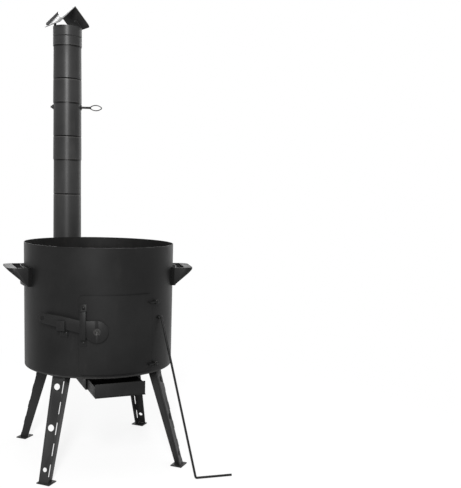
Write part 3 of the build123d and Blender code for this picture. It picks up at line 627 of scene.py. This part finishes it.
@dataclass
class GeometryTree(Wiring):
    """One Geometry Nodes tree, with named inputs."""

    name: str
    inputs: dict[str, str]
    tree: bpy.types.NodeTree = field(init=False)

    def __post_init__(self) -> None:
        """Makes the empty tree with its sockets."""
        self.tree = bpy.data.node_groups.new(self.name, "GeometryNodeTree")
        face = self.tree.interface
        face.new_socket("Geometry", in_out="INPUT", socket_type="NodeSocketGeometry")
        for label, kind in self.inputs.items():
            face.new_socket(label, in_out="INPUT", socket_type=f"NodeSocket{kind}")
        face.new_socket("Geometry", in_out="OUTPUT", socket_type="NodeSocketGeometry")
        self.source = self.tree.nodes.new("NodeGroupInput")
        self.sink = self.tree.nodes.new("NodeGroupOutput")

    def given(self, label: str) -> bpy.types.NodeSocket:
        """The socket of a named input."""
        return self.source.outputs[label]

    def at_places(self, shape: bpy.types.NodeSocket) -> None:
        """Ends the tree in one shape at every point, turned by the point's own attribute."""
        turn = self.add("GeometryNodeInputNamedAttribute", {"data_type": "FLOAT_VECTOR"}, {"Name": "turn"})
        rotation = self.add("FunctionNodeEulerToRotation", links={"Euler": turn.outputs[0]})
        placed = self.add("GeometryNodeInstanceOnPoints", links={
            "Points": self.given("Geometry"), "Instance": shape, "Rotation": rotation.outputs[0]})
        self.finish(placed.outputs[0])

    def finish(self, geometry: bpy.types.NodeSocket) -> None:
        """Ends the tree in real geometry with its material."""
        real = self.add("GeometryNodeRealizeInstances", links={"Geometry": geometry})
        smooth = self.add("GeometryNodeSetShadeSmooth", links={"Geometry": real.outputs[0]})
        dressed = self.add("GeometryNodeSetMaterial", links={"Geometry": smooth.outputs[0],
                                                             "Material": self.given("Material")})
        self.tree.links.new(dressed.outputs[0], self.sink.inputs[0])

    def run(self, data: bpy.types.ID, name: str, values: dict) -> bpy.types.Object:
        """Runs the tree on a curve or mesh.

        Args:
            data: the curve or mesh that the tree starts from.
            name: the new piece's name.
            values: the named inputs.

        Returns:
            The plain mesh object.
        """
        carrier = link(data, f"{name}_source")
        modifier = carrier.modifiers.new(self.name, "NODES")
        modifier.node_group = self.tree
        for item in self.tree.interface.items_tree:
            if item.item_type == "SOCKET" and item.in_out == "INPUT" and item.name in values:
                modifier[item.identifier] = values[item.name]
        return applied(carrier, name)


class Workshop:
    """The trees that repeat small things, built once."""

    def __init__(self, palette: Palette) -> None:
        """Builds the trees, to be dressed from the palette."""
        self.palette = palette
        self.bead = self._bead_tree()
        self.repeat = self._repeat_tree()
        self.thread = self._thread_tree()

    @staticmethod
    def _bead_tree() -> GeometryTree:
        """Weld bead: flattened drops along a curve, each a little different."""
        tree = GeometryTree("weld_bead_tree", {"Pitch": "Float", "Radius": "Float", "Seed": "Int",
                                               "Material": "Material"})
        line = tree.add("GeometryNodeResampleCurve", {"mode": "LENGTH"},
                        {"Curve": tree.given("Geometry"), "Length": tree.given("Pitch")})
        tangent = tree.add("GeometryNodeInputTangent")
        turn = tree.add("FunctionNodeAlignRotationToVector", {"axis": "X"}, {"Vector": tangent.outputs[0]})
        smallest, largest, number = 2, 3, 1
        size = tree.add("FunctionNodeRandomValue", {"data_type": "FLOAT"},
                        {"Seed": tree.given("Seed"), smallest: 0.86, largest: 1.14})
        scale = tree.add("ShaderNodeMath", {"operation": "MULTIPLY"},
                         {0: size.outputs[number], 1: tree.given("Radius")})
        drop = tree.add("GeometryNodeMeshIcoSphere", links={"Radius": 1.0, "Subdivisions": 2})
        squashed = tree.add("GeometryNodeTransform",
                            links={"Geometry": drop.outputs[0], "Scale": (0.62, 1.0, 1.0)})
        drops = tree.add("GeometryNodeInstanceOnPoints",
                         links={"Points": line.outputs[0], "Instance": squashed.outputs[0],
                                "Rotation": turn.outputs[0], "Scale": scale.outputs[0]})
        tree.finish(drops.outputs[0])
        return tree

    @staticmethod
    def _repeat_tree() -> GeometryTree:
        """One shape at many places, turned by each point's own attribute."""
        tree = GeometryTree("repeat_tree", {"Shape": "Object", "Material": "Material"})
        shape = tree.add("GeometryNodeObjectInfo", links={"Object": tree.given("Shape")})
        tree.at_places(shape.outputs["Geometry"])
        return tree

    @staticmethod
    def _thread_tree() -> GeometryTree:
        """Screw thread: a ridge wound along +Z at each point."""
        tree = GeometryTree("thread_tree", {"Radius": "Float", "Length": "Float", "Pitch": "Float",
                                            "Material": "Material"})
        turns = tree.add("ShaderNodeMath", {"operation": "DIVIDE"},
                         {0: tree.given("Length"), 1: tree.given("Pitch")})
        coil = tree.add("GeometryNodeCurveSpiral", links={
            "Resolution": 18, "Rotations": turns.outputs[0], "Start Radius": tree.given("Radius"),
            "End Radius": tree.given("Radius"), "Height": tree.given("Length")})
        ridge = tree.add("GeometryNodeCurvePrimitiveCircle", {"mode": "RADIUS"},
                         {"Resolution": 4, "Radius": THREAD_RIDGE})
        wound = tree.add("GeometryNodeCurveToMesh", links={
            "Curve": coil.outputs[0], "Profile Curve": ridge.outputs[0], "Fill Caps": True})
        tree.at_places(wound.outputs[0])
        return tree

    @staticmethod
    def places(spots: Spots) -> bpy.types.Mesh:
        """A mesh of loose points, with their turns in the attribute that the trees read."""
        mesh = bpy.data.meshes.new("places")
        mesh.from_pydata([tuple(point) for point, _ in spots], [], [])
        attribute = mesh.attributes.new("turn", "FLOAT_VECTOR", "POINT")
        for index, (_, rotation) in enumerate(spots):
            attribute.data[index].vector = rotation.to_euler()
        return mesh

    def weld(self, name: str, points: Sequence[Vector], body: str, radius: float, seed: int,
             closed: bool = False) -> None:
        """Lays a weld bead.

        Args:
            name: the bead's name.
            points: the line that it follows.
            body: the body that it rides on.
            radius: the bead's radius.
            seed: the start of its small differences.
            closed: whether the line closes on itself.
        """
        curve = bpy.data.curves.new(f"{name}_line", "CURVE")
        curve.dimensions = "3D"
        spline = curve.splines.new("POLY")
        spline.points.add(len(points) - 1)
        for target, point in zip(spline.points, points):
            target.co = (*point, 1.0)
        spline.use_cyclic_u = closed
        piece = self.bead.run(curve, name, {"Pitch": radius * 0.9, "Radius": radius, "Seed": seed,
                                            "Material": self.palette["weld_bead"]})
        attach(piece, body)
        LOG.info("%s: weld bead", name)

    @staticmethod
    def _fix(piece: bpy.types.Object, body: str) -> None:
        """Sets fixings on their body."""
        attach(piece, body)
        LOG.info("%s: set", piece.name)

    def fixings(self, name: str, shape: bpy.types.Mesh, spots: Spots, body: str, nodes: Sequence[str],
                finish: str = "blackened_fixing") -> None:
        """Sets one small shape at many places.

        Args:
            name: the piece's name.
            shape: the mesh of one.
            spots: where each goes, with its rotation.
            body: the body that they ride on.
            nodes: the CAD nodes that they stand for.
            finish: their finish.
        """
        pattern = link(shape, f"{name}_pattern")
        values = {"Shape": pattern, "Material": self.palette[finish]}
        piece = self.repeat.run(self.places(spots), name, values)
        bpy.data.objects.remove(pattern)
        shade(piece.data)
        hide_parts(*nodes)
        self._fix(piece, body)

    def threads(self, name: str, spots: Spots, body: str, length: float) -> None:
        """Winds a screw thread at many places.

        Args:
            name: the piece's name.
            spots: where each starts, with its rotation.
            body: the body that they ride on.
            length: the thread's length.
        """
        values = {"Radius": THREAD_RADIUS, "Length": length, "Pitch": THREAD_PITCH,
                  "Material": self.palette["blackened_fixing"]}
        self._fix(self.thread.run(self.places(spots), name, values), body)


def rivet_head(radius: float, height: float) -> bpy.types.Mesh:
    """A domed head standing on z = 0."""
    ball = (radius ** 2 + height ** 2) / (2 * height)
    steps, sides = 6, 20
    spread = math.asin(min(1.0, radius / ball))
    profile = [(0.0, 0.0), (radius, 0.0)]
    for step in range(1, steps + 1):
        lean = spread * (1 - step / steps)
        profile.append((ball * math.sin(lean), height - ball + ball * math.cos(lean)))
    return lathe(profile, sides)


def chamfered_nut(radius: float, height: float, bore: float) -> bpy.types.Mesh:
    """A hexagon nut standing on z = 0, with turned chamfers at both faces.

    Args:
        radius: its corner radius.
        height: its height.
        bore: the hole's radius.

    Returns:
        The mesh, with a corner on +X.
    """
    flat = radius * math.cos(math.pi / 6)
    steps = 36
    form = bmesh.new()
    rings: list[list[bmesh.types.BMVert]] = []
    for level, cut in ((0.0, True), (0.12, False), (0.88, False), (1.0, True)):
        ring = []
        for i in range(steps):
            hexagon = flat / math.cos((2 * math.pi * i / steps) % (math.pi / 3) - math.pi / 6)
            reach = min(hexagon, flat * NUT_CHAMFER) if cut else hexagon
            ring.append(form.verts.new(ring_point(reach, i, steps, height * level)))
        rings.append(ring)
    for level in (height, 0.0):
        rings.append([form.verts.new(ring_point(bore, i, steps, level)) for i in range(steps)])
    for lower, upper in zip(rings, rings[1:] + rings[:1]):
        for i in range(steps):
            j = (i + 1) % steps
            form.faces.new((lower[i], lower[j], upper[j], upper[i]))
    return closed_mesh(form, "nut")


# ---- sub-assemblies


@dataclass
class Assembly:
    """A sub-assembly of the stove."""

    palette: Palette
    workshop: Workshop

    def traced(self, nodes: Iterable[str], body: str, finish: str, turned: Turned | None = None,
               edge: float = 0.0, angle: float = 32.0) -> None:
        """Puts merged and shaded copies in the place of CAD nodes.

        Args:
            nodes: the nodes.
            body: the body that they ride on.
            finish: their finish.
            turned: the axis of a rolled sheet.
            edge: the width of the rounding on sharp edges.
            angle: the sharpest edge that is still shaded smooth, in degrees.
        """
        for node in nodes:
            mesh = bpy.data.objects[node].data.copy()
            form = merged(mesh)
            if edge:
                bmesh.ops.dissolve_limit(form, angle_limit=math.radians(FLAT_DEGREES), verts=form.verts,
                                         edges=form.edges)
            form.to_mesh(mesh)
            form.free()
            mesh.materials.clear()
            mesh.materials.append(self.palette[finish])
            piece = link(mesh, f"{node}_finished")
            if edge:
                bevel = piece.modifiers.new("edge", "BEVEL")
                bevel.width, bevel.segments = edge, 2
                bevel.limit_method, bevel.angle_limit = "ANGLE", math.radians(BEVEL_DEGREES)
                piece = applied(piece, f"{node}_finished")
            if turned:
                turned.apply(piece.data)
            else:
                shade(piece.data, angle)
            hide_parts(node)
            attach(piece, body)
            LOG.info("%s: traced from the solid", piece.name)

    def rivets(self, node: str, body: str, head: bpy.types.Mesh, finish: str = "fitting_paint",
               axis: tuple[float, float] = (0.0, 0.0)) -> None:
        """Sets smooth rivet heads for a node's.

        Args:
            node: the CAD node.
            body: the body that they ride on.
            head: the mesh of one head.
            finish: their finish.
            axis: the upright axis that they face away from.
        """
        spots = []
        for group in islands(node):
            middle = centre(group)
            out = outward(middle, axis)
            foot = min((p.x - axis[0]) * out.x + (p.y - axis[1]) * out.y for p in group)
            spots.append((Vector((*axis, middle.z)) + out * foot, facing(out)))
        self.workshop.fixings(f"{node}_domed", head, spots, body, [node], finish)

    def nuts(self, node: str, seats: Spots, threads: str, tails: Spots, length: float) -> None:
        """Sets turned nuts for a node's and threads the tails that stand out of them.

        Args:
            node: the CAD node of the nuts.
            seats: where each nut sits.
            threads: the threads' name.
            tails: where each thread starts.
            length: each thread's length.
        """
        nut = chamfered_nut(NUT_RADIUS, NUT_HEIGHT, NUT_BORE)
        self.workshop.fixings(f"{node}_turned", nut, seats, "stove", [node])
        self.workshop.threads(threads, tails, "stove", length)


@dataclass
class Drum(Assembly):
    """The rolled wall, its floor, the grate's ledge and the seam."""

    radius: float = 0.200
    bottom: float = -0.325
    foot_steps: int = 240
    foot_inset: float = 0.0032
    foot_rise: float = 0.0008
    seam_angle: float = 150.0
    seam_inset: float = 0.0006
    seam_start: float = 0.004
    seam_length: float = 0.317
    seam_steps: int = 40

    def build(self) -> None:
        """Dresses the drum."""
        self.traced(["body_shell"], "stove", "drum_paint", Turned())
        self.traced(["bottom_plate"], "stove", "floor_plate_paint", edge=0.0004)
        self.traced(["grate_ledge"], "stove", "floor_plate_paint")
        radius, low = self.radius - self.foot_inset, self.bottom + self.foot_rise
        foot = [drum_point(360 * i / self.foot_steps, radius, low) for i in range(self.foot_steps)]
        self.workshop.weld("floor_weld", foot, "stove", closed=True, radius=0.0018, seed=3)
        low = self.bottom + self.seam_start
        seam = [drum_point(self.seam_angle, self.radius - self.seam_inset,
                           low + self.seam_length * i / self.seam_steps) for i in range(self.seam_steps + 1)]
        self.workshop.weld("wall_seam", seam, "stove", radius=0.0014, seed=5)


@dataclass
class FirePit(Assembly):
    """The cast grate, the ash drawer and its housing, tacked to the drum's floor along both sides."""

    weld_x: float = 0.0705
    weld_height: float = FLOOR + 0.2595
    weld_start: float = -0.12
    weld_pitch: float = 0.09
    weld_length: float = 0.03

    def build(self) -> None:
        """Dresses the grate and the drawer."""
        self.traced(["fire_grate"], "fire_grate", "grate_iron", edge=0.0012)
        self.traced(["ash_housing"], "stove", "ash_paint", edge=0.0003)
        self.traced(["ash_drawer"], "ash_drawer", "fitting_paint", edge=0.0004)
        for index, x in enumerate((-self.weld_x, self.weld_x)):
            for part in range(3):
                start = self.weld_start + part * self.weld_pitch
                line = [Vector((x, start + self.weld_length * i / 8, self.weld_height)) for i in range(9)]
                self.workshop.weld(f"housing_weld_{index}_{part}", line, "stove", radius=0.0014,
                                   seed=20 + part)


@dataclass
class Legs(Assembly):
    """Four slotted angle legs with their brackets, foot plates, bolts and nuts."""

    corners: tuple[str, ...] = ("front_left", "front_right", "rear_right", "rear_left")
    head: float = FLOOR + 0.258
    foot: float = FLOOR + 0.003
    head_radius: float = 0.184
    foot_radius: float = 0.258
    head_weld: float = 0.034
    foot_weld: float = 0.021
    weld_start: float = 0.004
    weld_depth: float = 0.0038
    weld_rise: float = 0.0006
    bend: float = 0.014
    turn: float = 10.0
    bolt_tail: float = 0.0014

    def build(self) -> None:
        """Dresses the legs."""
        self.traced([f"leg_{c}" for c in self.corners], "stove", "leg_paint", edge=0.0005)
        self.traced([f"leg_bracket_{c}" for c in self.corners], "stove", "leg_paint", edge=0.0005)
        self.traced([f"foot_plate_{c}" for c in self.corners], "stove", "leg_paint", edge=0.0006)
        self.traced(["leg_bolts"], "stove", "blackened_fixing")
        self._nuts()
        for quarter in range(4):
            self._welds(quarter, 40 + 4 * quarter)

    def _nuts(self) -> None:
        """Sets the nuts under the brackets and threads the bolts' tails."""
        turn = facing(-UP, Vector((1, 1, 0)))
        middles = [centre(group) for group in islands("leg_nuts")]
        seats, tails = ([(Vector((m.x, m.y, height)), turn) for m in middles]
                        for height in (self.head, self.head - THREAD_START))
        self.nuts("leg_nuts", seats, "leg_bolt_threads", tails, self.bolt_tail)

    def _welds(self, quarter: int, seed: int) -> None:
        """Welds a leg to its bracket and its foot plate, along the inside of the flange that faces outwards.

        Args:
            quarter: the leg's place, in quarter turns from the front left one.
            seed: the start of the beads' small differences.
        """
        place = Matrix.Rotation(math.radians(225 + 90 * quarter), 3, "Z")
        lean = Matrix.Rotation(math.radians(self.turn), 3, "Z")
        along, inward = lean @ Vector((0, -1, 0)), lean @ Vector((-1, 0, 0))
        corner = self.corners[quarter]
        ends = (("head", self.head_radius, self.head - self.weld_rise, self.head_weld),
                ("foot", self.foot_radius, self.foot + self.weld_rise, self.foot_weld))
        for index, (end, radius, height, reach) in enumerate(ends):
            start = Vector((radius, self.bend, height)) + inward * self.weld_depth
            length = reach - self.weld_start
            line = [place @ (start + along * (self.weld_start + length * i / 12)) for i in range(13)]
            self.workshop.weld(f"{end}_weld_{corner}", line, "stove", radius=0.0016, seed=seed + index)


@dataclass
class SideHandles(Assembly):
    """Two folded handles on fibre pads, with studs and nuts."""

    seat: float = 0.210
    stud_tail: float = 0.0024

    def build(self) -> None:
        """Dresses the handles."""
        self.traced(["handle_left", "handle_right"], "stove", "fitting_paint", edge=0.0006, angle=28.0)
        # The pads' near-black finish is partly painted shade in the gap behind each handle
        self.traced(["handle_pad_left", "handle_pad_right"], "stove", "heat_pad_gap_shade", Turned())
        self.traced(["handle_studs"], "stove", "blackened_fixing")
        seats, tails = [], []
        for group in islands("handle_nuts"):
            middle = centre(group)
            out = outward(middle)
            seats.append((out * self.seat + UP * middle.z, facing(out, out.cross(UP))))
            tails.append((out * (self.seat + THREAD_START) + UP * middle.z, facing(out)))
        self.nuts("handle_nuts", seats, "handle_stud_threads", tails, self.stud_tail)


@dataclass
class FireDoor(Assembly):
    """The curved door, its hinges and the guide that it carries."""

    def build(self) -> None:
        """Dresses the door."""
        self.traced(["door_panel"], "door", "door_paint", Turned())
        self.traced(["door_hinge_eyes"], "door", "fitting_paint", edge=0.0003)
        self.traced(["drum_hinge_eyes"], "stove", "fitting_paint", edge=0.0003)
        self.traced(["hinge_pins"], "stove", "blackened_fixing")
        self.traced(["latch_guide"], "door", "fitting_paint", edge=0.0004)
        self.rivets("guide_rivets", "door", rivet_head(*LATCH_RIVET))


@dataclass
class DropLatch(Assembly):
    """The lever, its stud, washer and nut, and the keeper on the drum."""

    def build(self) -> None:
        """Dresses the latch."""
        self.traced(["latch_lever"], "latch", "fitting_paint", edge=0.0006)
        self.traced(["latch_keeper"], "stove", "fitting_paint", edge=0.0004)
        self.traced(["latch_stud", "latch_washer"], "door", "blackened_fixing")
        self.traced(["latch_nut"], "door", "blackened_fixing", edge=0.0004)
        self.rivets("keeper_rivets", "stove", rivet_head(*LATCH_RIVET))


@dataclass
class Flue(Assembly):
    """The elbow and the three sleeves."""

    tube: float = 0.0400
    drum: float = 0.2004
    height: float = FLOOR + 0.490

    def build(self) -> None:
        """Dresses the flue."""
        self.traced(["pipe_lower", "pipe_middle", "pipe_upper"], "chimney", "flue_paint", Turned(FLUE_AXIS))
        self.traced(["flue_elbow"], "stove", "flue_paint", angle=24.0)
        self._elbow_weld()

    def _elbow_weld(self) -> None:
        """Lays a bead where the elbow meets the drum."""
        axis = drum_point(FLUE_ANGLE, 1.0, 0.0)
        side = Vector((-axis.y, axis.x, 0))
        points, steps = [], 96
        for step in range(steps):
            across, rise, _ = ring_point(self.tube, step, steps, 0.0)
            out = math.sqrt(self.drum ** 2 - across ** 2)
            points.append(axis * out + side * across + UP * (self.height + rise))
        self.workshop.weld("elbow_weld", points, "stove", closed=True, radius=0.0022, seed=9)


@dataclass
class RainCap(Assembly):
    """The collar, the gable, its straps and rivets."""

    def build(self) -> None:
        """Dresses the cap."""
        self.traced(["cap_collar"], "rain_cap", "flue_paint", Turned(FLUE_AXIS))
        self.traced(["rain_cap"], "rain_cap", "cap_paint", edge=0.0003)
        self.traced(["cap_strap_left", "cap_strap_right"], "rain_cap", "cap_paint", edge=0.0003)
        self.rivets("cap_rivets", "rain_cap", rivet_head(*CAP_RIVET), "flue_paint", FLUE_AXIS)


@dataclass
class Damper(Assembly):
    """The plate, rod and wire loop that close the flue."""

    def build(self) -> None:
        """Dresses the damper."""
        self.traced(["damper_disc"], "damper", "flue_paint")
        self.traced(["damper_rod", "damper_loop", "damper_washers"], "damper", "blackened_fixing")
        self.traced(["damper_nut"], "damper", "blackened_fixing", edge=0.0003)


@dataclass
class Poker(Assembly):
    """The loose rod that leans on the drum."""

    def build(self) -> None:
        """Dresses the poker."""
        self.traced(["poker"], "poker", "fitting_paint")


# ---- studio


@dataclass(frozen=True)
class Lamp:
    """A soft rectangular light."""

    name: str
    at: tuple[float, float, float]
    towards: tuple[float, float, float]
    size: tuple[float, float]
    power: float

    def build(self) -> None:
        """Hangs the light."""
        data = bpy.data.lights.new(self.name, "AREA")
        data.shape, data.energy = "RECTANGLE", self.power
        data.size, data.size_y = self.size
        lamp = link(data, self.name)
        lamp.location = self.at
        lamp.rotation_euler = (Vector(self.towards) - Vector(self.at)).to_track_quat("-Z", "Y").to_euler()


@dataclass(frozen=True)
class Camera:
    """The camera at the photograph's viewpoint."""

    at: tuple[float, float, float] = (-0.4556, -1.88613, 0.14572)
    ahead: tuple[float, float, float] = (0.387301, 0.912876, -0.129058)
    roll: float = 1.6422
    sensor: float = 36.0
    focal_pixels: float = 703.07
    middle: tuple[float, float] = (215.0, 283.0)
    frame: tuple[float, float] = (461.0, 488.0)

    def build(self) -> None:
        """Sets the camera up."""
        data = bpy.data.cameras.new("camera")
        long_side = max(self.frame)
        data.sensor_width = self.sensor
        data.lens = self.focal_pixels * self.sensor / long_side
        data.shift_x = (self.frame[0] / 2 - self.middle[0]) / long_side
        data.shift_y = (self.middle[1] - self.frame[1] / 2) / long_side
        data.clip_start, data.clip_end = 0.05, 60.0
        camera = link(data, "camera")
        ahead = Vector(self.ahead).normalized()
        right = ahead.cross(UP).normalized()
        up = right.cross(ahead)
        c, s = math.cos(math.radians(self.roll)), math.sin(math.radians(self.roll))
        across, rise = right * c + up * s, up * c - right * s
        turn = Matrix((across, rise, -ahead)).transposed().to_4x4()
        camera.matrix_world = Matrix.Translation(self.at) @ turn
        bpy.context.scene.camera = camera


@dataclass
class Studio:
    """Pale floor, white surroundings and soft lights."""

    floor_half: float = 9.0
    shadow_reach: float = 1.3
    lit_share: float = 0.8

    def build(self) -> None:
        """Builds the studio."""
        self._floor()
        self._world()
        Lamp("key", (-0.95, -2.9, 1.25), (0.0, 0.0, -0.05), (0.45, 1.6), 190.0).build()
        Lamp("fill", (2.2, 1.5, 0.9), (0.0, 0.0, -0.1), (0.9, 2.2), 14.0).build()
        Lamp("back", (0.5, 3.0, 1.7), (0.0, 0.1, -0.05), (1.6, 1.6), 36.0).build()
        Lamp("top", (0.2, -0.4, 2.6), (0.0, 0.0, 0.0), (2.0, 2.0), 26.0).build()
        bpy.context.scene.view_settings.view_transform = "Standard"

    @staticmethod
    def _seen(recipe: Recipe) -> Signal:
        """Whether a ray comes from the camera, a reflection or something clear."""
        path = recipe.add("ShaderNodeLightPath")
        camera, glossy, clear = (Signal(recipe, path.outputs[f"Is {kind} Ray"])
                                 for kind in ("Camera", "Glossy", "Transmission"))
        return (camera + glossy + clear).clamped()

    def _floor(self) -> None:
        """Lays the floor, white but still shaded by the stove."""
        half = self.floor_half
        mesh = bpy.data.meshes.new("floor")
        corners = [(-half, -half, FLOOR), (half, -half, FLOOR), (half, half, FLOOR), (-half, half, FLOOR)]
        mesh.from_pydata(corners, [], [(0, 1, 2, 3)])
        floor = link(mesh, "floor")
        material, recipe = new_material("studio_floor")
        x, y, _ = recipe.axes()
        far = ((x * x + y * y) ** 0.5).step(self.shadow_reach * 0.5, self.shadow_reach)
        matt = recipe.node("ShaderNodeBsdfDiffuse", links={"Color": grey(0.6)})
        glow = recipe.node("ShaderNodeEmission", links={"Color": grey(1.0), "Strength": 1.0})
        white = self._seen(recipe) * (far * (1 - self.lit_share) + self.lit_share)
        mixed = recipe.node("ShaderNodeMixShader", links={0: white, 1: matt, 2: glow})
        recipe.add("ShaderNodeOutputMaterial", links={"Surface": mixed})
        mesh.materials.append(material)

    def _world(self) -> None:
        """Surrounds the scene with white, brighter from above for what it lights."""
        world = bpy.data.worlds.new("studio")
        bpy.context.scene.world = world
        world.use_nodes = True
        recipe = Recipe(world.node_tree)
        strength = recipe.axes("Generated")[2].step(-0.2, 0.9) * 0.7 + 0.3
        light = recipe.node("ShaderNodeBackground", links={"Color": grey(1.0), "Strength": strength})
        white = recipe.node("ShaderNodeBackground", links={"Color": grey(1.0), "Strength": 1.0})
        mixed = recipe.node("ShaderNodeMixShader", links={0: self._seen(recipe), 1: light, 2: white})
        recipe.add("ShaderNodeOutputWorld", links={"Surface": mixed})


def main() -> None:
    """Loads the solids, dresses each sub-assembly and sets the studio up."""
    logging.basicConfig(level=logging.INFO, format="%(name)s %(message)s")
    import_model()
    Camera().build()
    palette = Palette()
    workshop = Workshop(palette)
    for kind in (Drum, FirePit, Legs, SideHandles, FireDoor, DropLatch, Flue, RainCap, Damper, Poker):
        kind(palette, workshop).build()
    Studio().build()


if __name__ == "__main__":
    main()
